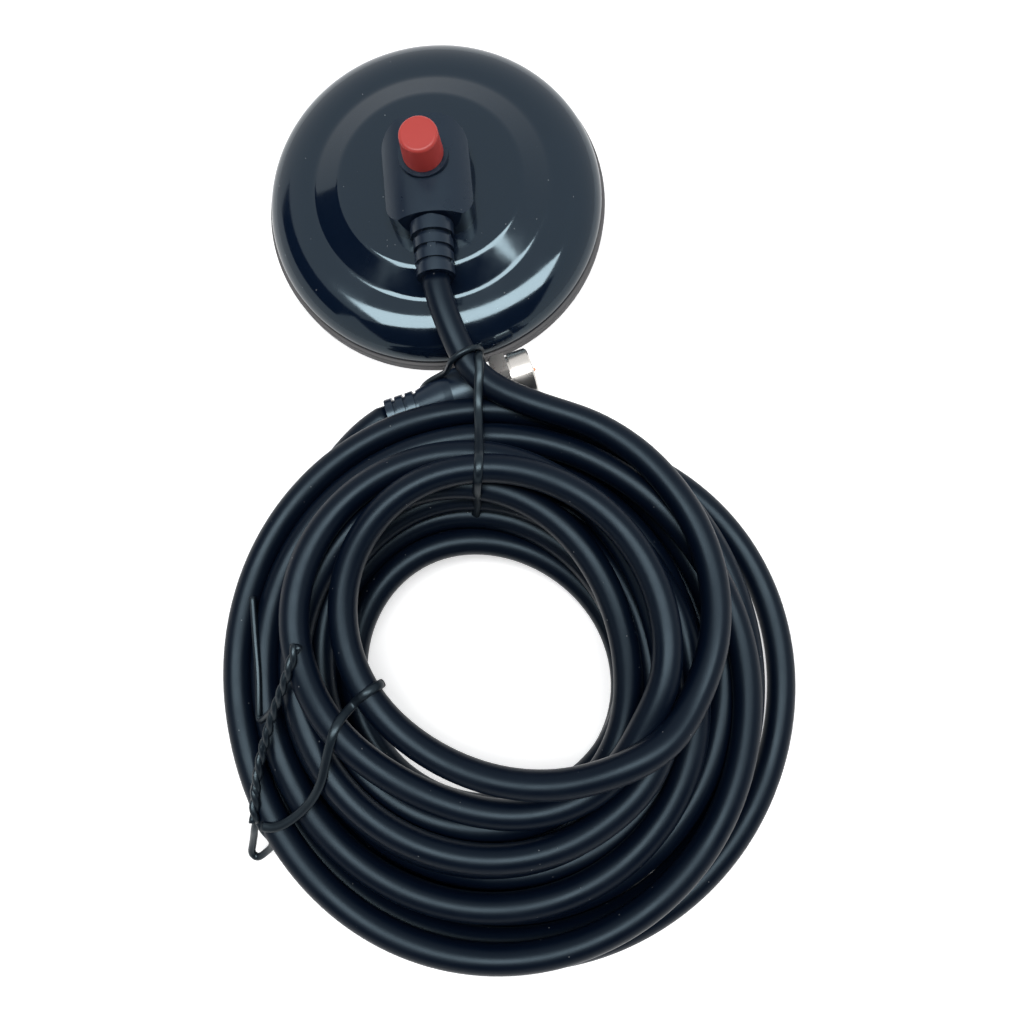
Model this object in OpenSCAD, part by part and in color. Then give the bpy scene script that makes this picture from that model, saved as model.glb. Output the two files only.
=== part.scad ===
// Magnetic base for a television antenna, with its coaxial lead wound into a coil.
// Origin at the centre of the base's underside, +Z up, lead leaving the block towards -Y.

/* [Base] */
// Diameter of the pressed steel cover over its skirt
cover_d = 85; // [80:1:95]
// Thickness of the cover's steel sheet
sheet_t = 1.2; // [0.8:0.1:1.6]
// Height of the cover's flat ring above the surface it stands on
ring_h = 11.5; // [10.5:0.5:15]
// Width of the cover's rounded outer edge, seen from above
edge_w = 11; // [7:0.5:12]
// Height of the cover's rounded outer edge
edge_h = 7.5; // [5:0.5:8.5]
// Diameter of the crease at the foot of the raised centre
foot_d = 59; // [54:1:62]
// Diameter of the raised flat centre
centre_d = 44.8; // [40:0.4:48]
// Rise of the raised centre above the flat ring
rise = 3.2; // [2:0.2:5]
// Thickness of the rubber pad under the magnet
pad_t = 1.2; // [0.8:0.1:2]
// Wall of the pad's rim outside the skirt
pad_wall = 0.9; // [0.6:0.1:1.5]
// Height of the pad's rim
pad_rim_h = 3.2; // [2.4:0.2:4.4]

/* [Magnet] */
// Room between the pole plate and the start of the cover's rounded edge
pole_room = 0.5; // [0.5:0.5:4]
// Step from the edge of the pole plate in to the edge of the magnet
pole_step = 1; // [0.5:0.5:3]
// Width of the ring magnet, from its bore to its edge
magnet_w = 16; // [11:0.5:18]
// Thickness of the steel pole plate over the magnet
pole_t = 1.4; // [1:0.2:2]

/* [Block] */
// Width of the moulded block
block_w = 20.6; // [20:0.2:24]
// Length of the block behind the jack
block_back = 10.4; // [9:0.2:12]
// Length of the block in front of the jack, at its foot
block_front = 14.8; // [13:0.2:16]
// Height of the block's crown above the raised centre
block_h = 10; // [9.8:0.2:12]
// Height of the block's upright sides
block_side_h = 5.6; // [4:0.2:7]
// Radius of the block's rear corners seen from above
rear_corner_r = 6; // [4:0.5:9]
// Radius of the block's front corners seen from above
front_corner_r = 5.5; // [4:0.5:7]
// Wall of the block
block_wall = 1.8; // [1.4:0.1:2.2]
// Diameter of the boss round the jack
boss_d = 11.6; // [10.6:0.2:13]
// Height of the boss above the crown
boss_h = 0.7; // [0.4:0.1:1.5]

/* [Jack and cap] */
// Outside diameter of the jack's thread
thread_d = 6.35; // [5.6:0.05:7]
// Height of the thread above the boss
thread_h = 6; // [5:0.2:8]
// Diameter of the jack's body inside the block
jack_body_d = 8.4; // [8:0.2:9.4]
// Diameter of the jack's white insulator
insulator_d = 4.1; // [3.6:0.1:4.4]
// Diameter of the jack's centre contact
contact_d = 1.27; // [1.1:0.01:1.6]
// Diameter of the cap at its mouth
cap_d = 9.5; // [9:0.1:10.4]
// Diameter of the cap at its top, before the rounding
cap_top_d = 8.9; // [8.4:0.1:9.4]
// Thickness of the cap's closed top
cap_roof = 1.1; // [0.9:0.1:2]
// Radius of the cap's rounded top edge
cap_round = 0.8; // [0.3:0.1:1.2]

/* [Lead] */
// Diameter of the coaxial lead
lead_d = 6.4; // [5.8:0.1:6.8]
// Diameter of the lead's white dielectric
dielectric_d = 4.4; // [4:0.1:4.7]
// Diameter of the lead's copper centre wire
wire_d = 1; // [0.8:0.05:1.05]
// Height of the lead's axis above the raised centre
lead_axis_h = 5.1; // [5.1:0.1:5.6]
// Length of the strain relief outside the block
relief_l = 12.8; // [11:0.2:15]
// Diameter of the strain relief's collar
collar_d = 10.2; // [9.6:0.1:10.2]
// Diameter of the strain relief's rings
relief_ring_d = 9.4; // [9:0.1:9.8]
// Number of rings on the strain relief
relief_rings = 3; // [2:1:4]

/* [Coil] */
// Outer diameter of the wound coil
coil_d = 122; // [104:1:126]
// Inner diameter of the wound coil
coil_hole_d = 54; // [44:1:64]
// Height of the wound coil
coil_h = 26; // [16:1:30]

/* [Plug] */
// Length of the plug's moulded body
plug_l = 26; // [22:0.5:28]
// Largest diameter of the plug's moulded body
plug_d = 13; // [12.9:0.1:15]
// Diameter of the ribbed tail of the plug's body
tail_d = 9; // [8.6:0.1:10]
// Number of ribs on the tail
tail_ribs = 3; // [2:1:4]
// Width across the flats of the plug's nut
nut_flats = 11; // [10.6:0.1:11]
// Diameter of the nut's round collar
nut_collar_d = 11.4; // [11:0.1:12]
// Length of the plug's nut
nut_l = 9.6; // [8:0.2:11]
// Bore of the nut, at the crests of its thread
nut_bore_d = 9.1; // [8.8:0.1:9.4]
// Diameter of the sleeve's neck, on which the nut turns
neck_d = 7.2; // [6.8:0.1:7.6]
// Diameter of the plug's centre pin
pin_d = 1; // [0.8:0.05:1.2]
// Turn of the plug's axis away from +X, seen from above
plug_turn = 13; // [0:1:14]

/* [Ties] */
// Width of the wire ties
tie_w = 1.7; // [1.4:0.1:2.4]
// Thickness of the wire ties
tie_t = 0.9; // [0.6:0.1:1.2]

/* [Hidden] */
$fn = 96;

// Clearance of a piece that turns or slides on another, on the radius
run_gap = 0.05;
// Clearance of a piece that only passes through a hole, on the radius
pass_gap = 0.2;
// Overlap that keeps a cutting shape from ending flush with what it cuts
cut = 0.5;

// Heights and radii of the base
cover_r = cover_d / 2;
skirt_z = pad_t;
foot_r = foot_d / 2;
centre_r = centre_d / 2;
centre_z = ring_h + rise;
pole_r = cover_r - edge_w - pole_room;
magnet_r = pole_r - pole_step;
magnet_bore_r = magnet_r - magnet_w;
pole_z = ring_h - sheet_t - pole_t;
magnet_h = pole_z - pad_t;
shank_hole_r = thread_d / 2 + pass_gap;

// Heights inside the block
crown_z = centre_z + block_h;
boss_z = crown_z + boss_h;
thread_top_z = boss_z + thread_h;
lead_z = centre_z + lead_axis_h;
roof_z = crown_z - block_wall;
cap_room = 0.3;
cap_h = thread_h + cap_room + cap_roof;
relief_y = -block_front;
relief_end_y = relief_y - relief_l;
neck_y = -block_front + 3.4;

// Slope of the block's nose over its height
nose_slope = 1;

// Screws that hold the block to the cover
screw_inset = 3.5;
screw_x = block_w / 2 - screw_inset;
screw_d = 2;
screw_head_d = 3.6;
screw_head_h = 1.1;
screw_grip = 3.6;
screw_boss_r = 1.9;

// Nut and washer under the cover
washer_t = 0.8;
jack_nut_flats = 8;
jack_nut_h = 2.4;
shank_end = 0.8;

// Plug, along its own axis from the mouth of its tail
tail_l = 8;
flare_l = 6.5;
plug_gap = 1.1;
nut_wall = 1.5;
nut_hex_l = 4;
nut_groove_l = 0.6;
flange_t = 1.3;
flange_d = nut_bore_d - 0.6;
sleeve_in = 9;
pin_out = 0.9;
plug_room = 2.4;
plug_x = -15.6;
plug_y = -cover_r - pad_wall - plug_room - plug_d / 2 - 0.65 * plug_l * sin(plug_turn);
plug_z = plug_d / 2;
nut_x = plug_l + plug_gap;

// Coil
coil_room = 0.4;
coil_x = 2;
coil_y = plug_y + 2.8 - plug_d / 2 - coil_room - coil_d / 2;
coil_edge_r = 7;

// Route of the lead from the strain relief, over the rim and the plug, to the coil
lead_route = [
    [0, relief_end_y, lead_z],
    [0, relief_end_y - 4, lead_z],
    [1, relief_end_y - 9, lead_z - 0.3],
    [2.5, relief_end_y - 15, lead_z - 1.2],
    [coil_x + 3.5, coil_y + 73, 17.6],
    [coil_x + 7, coil_y + 68, 16.6],
    [coil_x + 12, coil_y + 64.5, 15.8],
    [coil_x + 18, coil_y + 61, 15],
    [coil_x + 25, coil_y + 57, 14],
    [coil_x + 32, coil_y + 51.5, 13],
    [coil_x + 38, coil_y + 45, 12]
];

// Route of the lead from the coil to the mouth of the plug's tail
tail_route = [
    [coil_x - 47, coil_y + 35, 7],
    [coil_x - 41, coil_y + 45, 7],
    [coil_x - 33, coil_y + 54, 7],
    [plug_x - 8, plug_y - 2.5, plug_z],
    [plug_x - 4 * cos(plug_turn), plug_y - 4 * sin(plug_turn), plug_z],
    [plug_x, plug_y, plug_z]
];

// Flat ring with its underside at height z
module ring(r_out, r_in, z, h) {
    translate([0, 0, z]) difference() {
        cylinder(r = r_out, h = h);
        translate([0, 0, -cut]) cylinder(r = r_in, h = h + 2 * cut);
    }
}

// Area under the cover's skin, drawn a distance t inside the outer face
module cover_section(t) {
    union() {
        translate([0, -cut]) square([cover_r - t, ring_h - edge_h + cut]);
        translate([0, -cut]) square([cover_r - edge_w, ring_h - t + cut]);
        translate([cover_r - edge_w, ring_h - edge_h]) intersection() {
            scale([(edge_w - t) / (edge_h - t), 1]) circle(r = edge_h - t);
            square([edge_w, edge_h]);
        }
        polygon([
            [0, ring_h - t - cut],
            [foot_r - t / 2, ring_h - t - cut],
            [foot_r - t / 2, ring_h - t],
            [centre_r - t / 2, centre_z - t],
            [0, centre_z - t]
        ]);
    }
}

module base_cover() color([0.07, 0.08, 0.1]) {
    difference() {
        rotate_extrude() intersection() {
            cover_section(0);
            translate([0, skirt_z]) square([cover_r, centre_z]);
        }
        rotate_extrude() cover_section(sheet_t);
        translate([0, 0, ring_h]) cylinder(r = shank_hole_r, h = rise + cut);
        for (s = [-1, 1]) {
            translate([s * screw_x, 0, ring_h]) cylinder(r = screw_d / 2 + pass_gap, h = rise + cut);
        }
    }
}

module base_pad() color([0.2, 0.19, 0.19]) {
    rim_r = cover_r + pad_wall;
    difference() {
        rotate_extrude() union() {
            square([rim_r, pad_rim_h - pad_wall / 2]);
            square([rim_r - pad_wall / 2, pad_rim_h]);
            translate([rim_r - pad_wall / 2, pad_rim_h - pad_wall / 2]) circle(r = pad_wall / 2);
        }
        translate([0, 0, pad_t]) cylinder(r = cover_r, h = pad_rim_h);
    }
}

module ring_magnet() color([0.24, 0.24, 0.25]) {
    ring(magnet_r, magnet_bore_r, pad_t, magnet_h);
}

module pole_plate() color([0.62, 0.63, 0.65]) {
    ring(pole_r, magnet_bore_r, pole_z, pole_t);
}

// Outline of the block seen from above
module block_plan(inset) {
    w = block_w / 2 - inset;
    rr = rear_corner_r - inset;
    fr = front_corner_r - inset;
    back = block_back - inset;
    front = block_front - inset;
    union() {
        translate([-w, -front + fr]) square([2 * w, front + back - fr - rr]);
        translate([-w + rr, back - rr - cut]) square([2 * (w - rr), rr + cut]);
        translate([-w + fr, -front]) square([2 * (w - fr), fr + cut]);
        for (s = [-1, 1]) {
            translate([s * (w - rr), back - rr]) circle(r = rr);
            translate([s * (w - fr), -front + fr]) circle(r = fr);
        }
    }
}

// Arch of the block seen along the lead: upright sides under a barrel vault
module block_arch(inset) {
    w = block_w / 2 - inset;
    side = block_side_h;
    sag = block_h - inset - side;
    r = (w * w + sag * sag) / (2 * sag);
    intersection() {
        union() {
            translate([-w, -cut]) square([2 * w, side + cut]);
            translate([0, side + sag - r]) circle(r = r);
        }
        translate([-w, -cut]) square([2 * w, block_h + 2 * cut]);
    }
}

// Side view of the block: flat crown and a nearly upright nose
module block_side_view(inset) {
    top = block_h + 1 - inset;
    polygon([
        [-block_front - cut, -cut],
        [block_back + cut, -cut],
        [block_back + cut, top],
        [-block_front + nose_slope + inset, top],
        [-block_front + nose_slope + inset, block_h - inset],
        [-block_front - cut + inset, -cut]
    ]);
}

module block_form(inset) {
    translate([0, 0, centre_z]) intersection() {
        linear_extrude(height = block_h - inset) block_plan(inset);
        translate([0, block_back + cut, 0]) rotate([90, 0, 0])
            linear_extrude(height = block_back + block_front + 2 * cut) block_arch(inset);
        translate([-block_w / 2 - cut, 0, 0]) rotate([90, 0, 90])
            linear_extrude(height = block_w + 2 * cut) block_side_view(inset);
    }
}

module mount_block() color([0.1, 0.11, 0.13]) {
    difference() {
        union() {
            block_form(0);
            translate([0, 0, crown_z - 2]) cylinder(r = boss_d / 2, h = boss_h + 2);
        }
        difference() {
            block_form(block_wall);
            for (s = [-1, 1]) {
                translate([s * screw_x, 0, centre_z]) cylinder(r = screw_boss_r, h = block_h);
            }
        }
        translate([0, 0, centre_z - cut]) cylinder(r = jack_body_d / 2, h = roof_z - centre_z + cut);
        translate([0, 0, centre_z]) cylinder(r = thread_d / 2 + run_gap, h = block_h + boss_h + cut);
        for (s = [-1, 1]) {
            translate([s * screw_x, 0, centre_z - cut]) cylinder(r = screw_d / 2, h = screw_grip + cut);
        }
        translate([0, 0, lead_z]) rotate([90, 0, 0]) cylinder(r = neck_r + pass_gap / 2, h = block_front + cut);
    }
}

module block_screws() color([0.7, 0.71, 0.72]) {
    under = centre_z - sheet_t;
    for (s = [-1, 1]) {
        translate([s * screw_x, 0, 0]) difference() {
            union() {
                translate([0, 0, under]) cylinder(r = screw_d / 2, h = sheet_t + screw_grip);
                translate([0, 0, under - screw_head_h]) cylinder(r = screw_head_d / 2, h = screw_head_h);
            }
            for (a = [0, 90]) {
                translate([0, 0, under - screw_head_h]) rotate([0, 0, a])
                    cube([screw_head_d * 0.7, 0.6, 1.2], center = true);
            }
        }
    }
}

// Jack
spigot_r = dielectric_d / 2 + 0.35;
spigot_y = -jack_body_d / 2 - 4;
crimp_r = spigot_r + 0.75;
neck_r = 4;

module jack_body() color([0.85, 0.68, 0.3]) {
    shank_z = centre_z - sheet_t - washer_t - jack_nut_h - shank_end;
    difference() {
        union() {
            translate([0, 0, shank_z]) cylinder(r = thread_d / 2, h = thread_top_z - 0.4 - shank_z);
            translate([0, 0, thread_top_z - 0.4]) cylinder(r1 = thread_d / 2, r2 = thread_d / 2 - 0.4, h = 0.4);
            translate([0, 0, centre_z]) cylinder(r = jack_body_d / 2, h = roof_z - centre_z);
            translate([0, 0, lead_z]) rotate([90, 0, 0]) cylinder(r = spigot_r, h = -spigot_y);
        }
        translate([0, 0, lead_z - dielectric_d / 2]) cylinder(r = insulator_d / 2, h = block_h + thread_h);
        translate([0, 0, lead_z]) rotate([90, 0, 0]) cylinder(r = dielectric_d / 2, h = cut - spigot_y);
    }
}

module jack_washer() color([0.72, 0.73, 0.75]) {
    ring(jack_nut_flats / 2 + 0.6, shank_hole_r, centre_z - sheet_t - washer_t, washer_t);
}

module jack_nut() color([0.85, 0.68, 0.3]) {
    translate([0, 0, centre_z - sheet_t - washer_t - jack_nut_h]) difference() {
        cylinder(r = jack_nut_flats / 2 / cos(30), h = jack_nut_h, $fn = 6);
        translate([0, 0, -cut]) cylinder(r = thread_d / 2, h = jack_nut_h + 2 * cut);
    }
}

module jack_insulator() color([0.93, 0.93, 0.9]) {
    z0 = lead_z + dielectric_d / 2;
    ring(insulator_d / 2, contact_d / 2, z0, thread_top_z - 0.4 - z0);
}

module jack_contact() color([0.9, 0.72, 0.3]) {
    z0 = lead_z - wire_d;
    difference() {
        translate([0, 0, z0]) cylinder(r = contact_d / 2, h = thread_top_z - 0.4 - z0);
        translate([0, 0, thread_top_z - 3.4]) cylinder(r = 0.47, h = 3 + cut);
        translate([0, 0, lead_z]) rotate([90, 0, 0]) cylinder(r = wire_d / 2, h = contact_d);
    }
}

module crimp_sleeve() color([0.76, 0.77, 0.78]) {
    y0 = -jack_body_d / 2;
    translate([0, y0, lead_z]) rotate([90, 0, 0]) difference() {
        cylinder(r = crimp_r, h = y0 - spigot_y);
        translate([0, 0, -cut]) cylinder(r = spigot_r, h = y0 - spigot_y + 2 * cut);
    }
}

// Stripped end of the lead: jacket in the strain relief, dielectric in the jack's spigot
module cable_end() color([0.9, 0.9, 0.88]) {
    strip_y = spigot_y - 0.2;
    translate([0, 0, lead_z]) rotate([90, 0, 0]) difference() {
        union() {
            translate([0, 0, insulator_d / 2]) cylinder(r = dielectric_d / 2, h = -relief_end_y - insulator_d / 2);
            translate([0, 0, -strip_y]) cylinder(r = lead_d / 2, h = strip_y - relief_end_y);
        }
        cylinder(r = wire_d / 2, h = -relief_end_y - 2);
    }
}

module centre_wire() color([0.8, 0.45, 0.28]) {
    translate([0, 0, lead_z]) rotate([90, 0, 0]) cylinder(r = wire_d / 2, h = -relief_end_y - 2);
}

// Strain relief: a neck in the block, a wide collar, then rings joined by narrow bridges
module strain_relief() color([0.11, 0.12, 0.13]) {
    collar_l = 3;
    groove_l = 1.1;
    ring_pitch = (relief_l - collar_l) / relief_rings;
    core_r = lead_d / 2 + 0.8;
    translate([0, 0, lead_z]) rotate([90, 0, 0]) difference() {
        union() {
            translate([0, 0, -neck_y]) cylinder(r = neck_r, h = neck_y - relief_y);
            translate([0, 0, -relief_y]) cylinder(r = core_r, h = relief_l);
            translate([0, 0, -relief_y]) cylinder(r = collar_d / 2, h = collar_l);
            for (i = [0 : relief_rings - 1]) {
                translate([0, 0, -relief_y + collar_l + groove_l + i * ring_pitch])
                    cylinder(r = relief_ring_d / 2 - 0.1 * i, h = ring_pitch - groove_l);
                translate([0, 0, -relief_y + collar_l + i * ring_pitch])
                    rotate([0, 0, i % 2 * 90]) bridge_pair(groove_l);
            }
        }
        translate([0, 0, -neck_y - cut]) cylinder(r = lead_d / 2, h = neck_y - relief_end_y + 2 * cut);
    }
}

// Two bridges that tie one ring to the next, across a groove of length l
module bridge_pair(l) {
    intersection() {
        cylinder(r = relief_ring_d / 2 - 0.3, h = l);
        translate([-relief_ring_d, -1, 0]) cube([2 * relief_ring_d, 2, l]);
    }
}

// Soft cap over the jack: a slightly tapered tube, closed and rounded at the top
module dust_cap() color([0.8, 0.22, 0.18]) {
    top_r = cap_top_d / 2;
    bore_r = thread_d / 2 + run_gap;
    translate([0, 0, boss_z]) difference() {
        rotate_extrude() union() {
            polygon([
                [0, 0],
                [cap_d / 2, 0],
                [cap_d / 2, 0.6],
                [top_r, cap_h - cap_round],
                [0, cap_h - cap_round]
            ]);
            square([top_r - cap_round, cap_h]);
            translate([top_r - cap_round, cap_h - cap_round]) intersection() {
                circle(r = cap_round);
                square(cap_round);
            }
        }
        translate([0, 0, -cut]) cylinder(r = bore_r, h = thread_h + cap_room + cut);
        translate([0, 0, -cut]) cylinder(r1 = bore_r + 0.4 + cut, r2 = bore_r, h = 0.4 + cut);
    }
}

// Unit vector
function unit(v) = v / norm(v);
// Direction of a route at its point i
function heading(p, i) =
    i == 0 ? unit(p[1] - p[0]) :
    i == len(p) - 1 ? unit(p[i] - p[i - 1]) :
    unit(p[i + 1] - p[i - 1]);
// Ring of s points of radius r about point c, square to direction d
function ring_points(c, d, r, s) =
    let (u = unit(cross(d, [0, 0, 1])), v = cross(u, d))
    [for (k = [0 : s - 1]) c + r * (cos(360 * k / s) * u + sin(360 * k / s) * v)];

// Round tube of radius r along the points p, as one closed surface with s sides
module tube(p, r, s) {
    n = len(p);
    points = [for (i = [0 : n - 1]) each ring_points(p[i], heading(p, i), r, s)];
    walls = [
        for (i = [0 : n - 2], k = [0 : s - 1])
            [i * s + k, (i + 1) * s + k, (i + 1) * s + (k + 1) % s, i * s + (k + 1) % s]
    ];
    start = [for (k = [0 : s - 1]) k];
    finish = [for (k = [s - 1 : -1 : 0]) (n - 1) * s + k];
    polyhedron(points, concat(walls, [start], [finish]));
}

module lead_cable() color([0.12, 0.12, 0.13]) tube(lead_route, lead_d / 2, 10);

module tail_cable() color([0.12, 0.12, 0.13]) tube(tail_route, lead_d / 2, 10);

// Outline of the wound turns, cut by a plane through the coil's axis
module coil_section(grow) {
    r0 = coil_hole_d / 2 - grow;
    r1 = coil_d / 2 + grow;
    h = coil_h + grow;
    e = coil_edge_r;
    union() {
        translate([r0, e]) square([r1 - r0, h - 2 * e]);
        translate([r0 + e, 0]) square([r1 - r0 - 2 * e, h]);
        for (r = [r0 + e, r1 - e], z = [e, h - e]) translate([r, z]) circle(r = e);
    }
}

module cable_coil() color([0.13, 0.13, 0.14]) {
    translate([coil_x, coil_y, 0]) rotate_extrude() coil_section(0);
}

// Place of the plug: its own +X runs from the mouth of the tail to the tip of the pin
module at_plug() {
    translate([plug_x, plug_y, plug_z]) rotate([0, 0, plug_turn]) rotate([0, 90, 0]) children();
}

// Moulded body: ribbed tail, flared shoulder and a plain round grip
module plug_boot() color([0.1, 0.11, 0.12]) {
    rib_pitch = tail_l / tail_ribs;
    at_plug() difference() {
        union() {
            cylinder(r = tail_d / 2 - 0.7, h = tail_l + 1);
            for (i = [0 : tail_ribs - 1]) {
                translate([0, 0, i * rib_pitch]) cylinder(r = tail_d / 2, h = rib_pitch - 0.8);
            }
            translate([0, 0, tail_l]) cylinder(r1 = tail_d / 2 - 0.2, r2 = plug_d / 2 - 0.6, h = flare_l);
            translate([0, 0, tail_l + flare_l])
                cylinder(r1 = plug_d / 2 - 0.6, r2 = plug_d / 2, h = 2);
            translate([0, 0, tail_l + flare_l + 2])
                cylinder(r = plug_d / 2, h = plug_l - tail_l - flare_l - 3);
            translate([0, 0, plug_l - 1]) cylinder(r1 = plug_d / 2, r2 = plug_d / 2 - 1, h = 1);
        }
        translate([0, 0, plug_l - sleeve_in]) cylinder(r = neck_d / 2, h = sleeve_in + cut);
    }
}

// Metal sleeve: its rear is held in the moulded body, its flange holds the nut
module plug_sleeve() color([0.78, 0.77, 0.73]) {
    rear = plug_l - sleeve_in;
    flange_x = nut_x + nut_wall + 0.1;
    at_plug() difference() {
        union() {
            translate([0, 0, rear]) cylinder(r = neck_d / 2, h = flange_x + flange_t - rear);
            translate([0, 0, flange_x]) cylinder(r = flange_d / 2, h = flange_t);
            translate([0, 0, plug_l]) cylinder(r = neck_d / 2 + 0.6, h = plug_gap - 0.2);
        }
        translate([0, 0, rear - cut]) cylinder(r = dielectric_d / 2 + 0.5, h = nut_x + nut_l);
    }
}

// Turning nut: hexagon at the rear, groove, fine-ribbed round collar in front
module plug_nut() color([0.8, 0.79, 0.75]) {
    groove_x = nut_x + nut_hex_l;
    collar_x = groove_x + nut_groove_l;
    collar_l = nut_x + nut_l - collar_x;
    hex_r = nut_flats / 2 / cos(30);
    at_plug() difference() {
        union() {
            intersection() {
                translate([0, 0, nut_x]) cylinder(r = hex_r, h = nut_hex_l, $fn = 6);
                translate([0, 0, nut_x]) cylinder(r1 = hex_r - 0.6, r2 = hex_r + 1.4, h = nut_hex_l);
            }
            translate([0, 0, groove_x]) cylinder(r = nut_flats / 2 - 0.4, h = nut_groove_l);
            translate([0, 0, collar_x]) cylinder(r = nut_collar_d / 2, h = collar_l - 0.4);
            translate([0, 0, collar_x + collar_l - 0.4])
                cylinder(r1 = nut_collar_d / 2, r2 = nut_collar_d / 2 - 0.4, h = 0.4);
        }
        translate([0, 0, nut_x - cut]) cylinder(r = neck_d / 2 + run_gap, h = nut_l);
        translate([0, 0, nut_x + nut_wall]) cylinder(r = nut_bore_d / 2, h = nut_l);
    }
}

module plug_dielectric() color([0.93, 0.93, 0.9]) {
    rear = plug_l - sleeve_in;
    at_plug() difference() {
        translate([0, 0, rear]) cylinder(r = dielectric_d / 2 + 0.5, h = nut_x + nut_wall + 0.1 + flange_t - rear);
        translate([0, 0, rear - cut]) cylinder(r = pin_d / 2, h = nut_x + nut_l);
    }
}

module plug_pin() color([0.8, 0.5, 0.3]) {
    rear = plug_l - sleeve_in;
    tip = nut_x + nut_l + pin_out;
    at_plug() {
        translate([0, 0, rear]) cylinder(r = pin_d / 2, h = tip - 0.4 - rear);
        translate([0, 0, tip - 0.4]) cylinder(r1 = pin_d / 2, r2 = pin_d / 4, h = 0.4);
    }
}

// Band of wire tie round the coil's turns, cut to the sector of width tie_w at angle a
module tie_band(a) {
    translate([coil_x, coil_y, 0]) rotate([0, 0, a]) intersection() {
        rotate_extrude(angle = 360) difference() {
            coil_section(tie_t);
            coil_section(0);
        }
        translate([0, -tie_w / 2, -cut]) cube([coil_d, tie_w, coil_h + 10]);
    }
}

module tie_top() color([0.12, 0.12, 0.13]) tie_band(84);

module tie_side() color([0.12, 0.12, 0.13]) tie_band(205);

base_cover();
base_pad();
ring_magnet();
pole_plate();
mount_block();
block_screws();
jack_body();
jack_washer();
jack_nut();
jack_insulator();
jack_contact();
crimp_sleeve();
cable_end();
centre_wire();
strain_relief();
dust_cap();
lead_cable();
cable_coil();
tail_cable();
plug_boot();
plug_sleeve();
plug_nut();
plug_dielectric();
plug_pin();
tie_top();
tie_side();
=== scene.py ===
"""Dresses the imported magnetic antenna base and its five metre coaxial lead."""

import math
from functools import lru_cache

import bpy
import numpy as np
from bpy.props import FloatProperty, FloatVectorProperty, IntProperty, PointerProperty
from mathutils import Matrix, Vector


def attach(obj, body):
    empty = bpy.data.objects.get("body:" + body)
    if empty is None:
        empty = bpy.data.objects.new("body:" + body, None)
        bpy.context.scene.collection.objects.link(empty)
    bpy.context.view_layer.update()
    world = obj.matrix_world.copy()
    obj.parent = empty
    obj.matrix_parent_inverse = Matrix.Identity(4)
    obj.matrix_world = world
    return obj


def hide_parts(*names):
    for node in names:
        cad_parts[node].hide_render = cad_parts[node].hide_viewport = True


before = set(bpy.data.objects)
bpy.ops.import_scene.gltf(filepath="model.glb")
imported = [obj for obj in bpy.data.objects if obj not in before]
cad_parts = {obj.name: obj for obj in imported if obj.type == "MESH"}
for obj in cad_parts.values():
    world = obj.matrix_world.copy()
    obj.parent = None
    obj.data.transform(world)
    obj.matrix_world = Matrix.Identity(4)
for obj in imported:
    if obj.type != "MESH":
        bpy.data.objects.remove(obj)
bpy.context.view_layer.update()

bl_info = {
    "name": "Magnetic antenna base",
    "version": (1, 0, 0),
    "blender": (4, 5, 0),
    "location": "View3D > Sidebar > Antenna",
    "description": "Builds the coiled lead, the ties and the finishes of a magnetic antenna base",
    "category": "Object",
}

MM = 0.001
STEPS_PER_TURN = 96

# where the lead leaves the strain relief, and the route that it takes to the coil, in mm
LEAD_ROUTE = (
    (0.0, -27.6, 19.8),
    (0.0, -31.6, 19.8),
    (2.5, -40.3, 18.9),
    (3.9, -45.2, 18.2),
    (5.8, -49.6, 17.6),
    (8.7, -53.1, 17.5),
    (12.6, -55.8, 18.0),
    (16.5, -58.1, 18.5),
    (20.9, -60.4, 18.5),
)
# the last stretch, from the coil's bottom layer into the plug's tail, in mm
TAIL_ROUTE = (
    (-36.3, -72.8, 3.3),
    (-30.3, -65.6, 3.8),
    (-23.6, -59.7, 5.3),
    (-19.5, -57.0, 6.3),
    (-15.6, -56.102, 6.5),
)
PLUG_MOUTH = np.array((-15.6, -56.102, 6.5))
PLUG_TURN = math.radians(13.0)
PLUG_LENGTH = 37.0
PLUG_TAIL = (9.0, 4.6)
PLUG_BODY_RADIUS = 6.6

# the coil, in mm and degrees clockwise from +Y about its middle
COIL_CENTRE = np.array((2.0, -117.0))
COIL_START = 24.0
COIL_END = -50.0
# the bundle's innermost and outermost turn, by angle
INNER_ANGLE = (0, 30, 60, 90, 105, 120, 135, 150, 180, 215, 240, 270, 286, 300, 320, 340, 360)
INNER_RADIUS = (29.5, 27.5, 28.0, 31.3, 33.5, 37.5, 39.5, 36.0, 30.5, 32.0, 34.0, 34.0, 34.5, 35.0, 33.2, 32.5, 29.5)
OUTER_ANGLE = (0, 30, 56, 90, 120, 150, 180, 212, 246, 269, 285, 311, 330, 346, 360)
OUTER_RADIUS = (59.5, 58.0, 58.5, 62.0, 67.5, 68.5, 67.3, 62.5, 53.0, 49.5, 50.5, 55.0, 57.5, 59.0, 59.5)
# the lane of each turn from the plug's end, 0 at the inside and 1 at the outside
LANES = (1.0, 0.76, 0.52, 0.28, 0.04, 0.0, 0.20, 0.44, 0.68, 0.92, 0.98, 0.72, 0.46, 0.20, 0.34, 0.60)
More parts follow.
